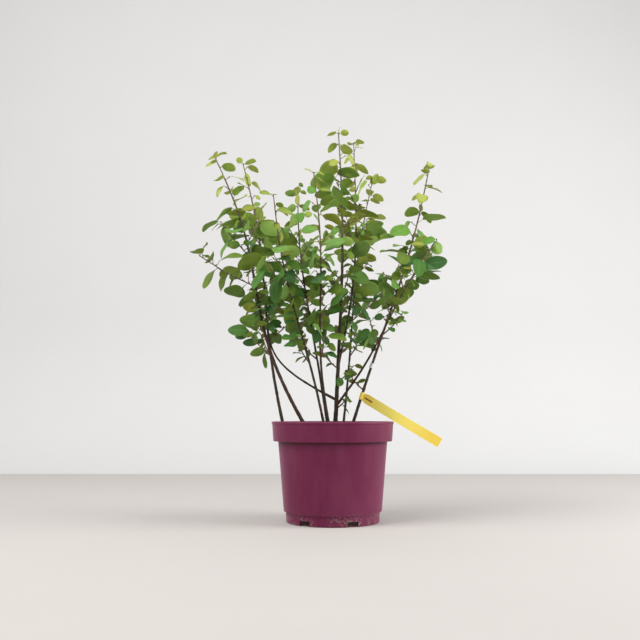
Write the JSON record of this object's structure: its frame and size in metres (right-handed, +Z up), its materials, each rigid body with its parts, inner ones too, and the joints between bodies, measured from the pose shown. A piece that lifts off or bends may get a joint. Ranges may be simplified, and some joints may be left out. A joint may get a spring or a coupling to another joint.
{
  "type": "potted saskatoon serviceberry shrub",
  "caption": "Young multi-stemmed serviceberry shrub with airy oval leaves, standing in a round plum nursery pot of soil.",
  "frame": {"origin": "centre of the pot's flat underside, on the surface that it stands on", "axes": "+Z up along the pot's axis; -Y is the front, +X the right, seen from the front"},
  "size_m": [0.4648, 0.3991, 0.7554],
  "materials": {
    "pot_plastic": "matte moulded, plum",
    "potting_soil": "rough, dark and crumbly",
    "bark": "thin smooth brown bark with pale pores",
    "foliage": "satin green leaves",
    "label_plastic": "thin yellow plastic, blank",
    "tie_plastic": "white plastic"
  },
  "bodies": {
    "root": {"bough_back": "bark", "bough_back_left": "bark", "bough_front_right": "bark", "label_strip": "label_plastic", "leaves_back_left": "foliage", "leaves_back_right": "foliage", "leaves_bough_back": "foliage", "leaves_bough_back_left": "foliage", "leaves_bough_front_right": "foliage", "leaves_far_left": "foliage", "leaves_front": "foliage", "leaves_front_left": "foliage", "leaves_left": "foliage", "leaves_right": "foliage", "leaves_side_01": "foliage", "leaves_side_02": "foliage", "leaves_side_03": "foliage", "leaves_side_04": "foliage", "leaves_side_05": "foliage", "leaves_side_06": "foliage", "leaves_side_07": "foliage", "leaves_side_08": "foliage", "leaves_side_09": "foliage", "leaves_side_10": "foliage", "leaves_side_11": "foliage", "leaves_side_12": "foliage", "leaves_side_13": "foliage", "leaves_side_14": "foliage", "leaves_side_15": "foliage", "leaves_side_16": "foliage", "leaves_side_17": "foliage", "leaves_side_18": "foliage", "leaves_side_19": "foliage", "leaves_trunk": "foliage", "pot": "pot_plastic", "soil": "potting_soil", "stem_back_left": "bark", "stem_back_right": "bark", "stem_far_left": "bark", "stem_front": "bark", "stem_front_left": "bark", "stem_left": "bark", "stem_right": "bark", "stem_tie": "tie_plastic", "trunk": "bark"}
  },
  "joints": []
}
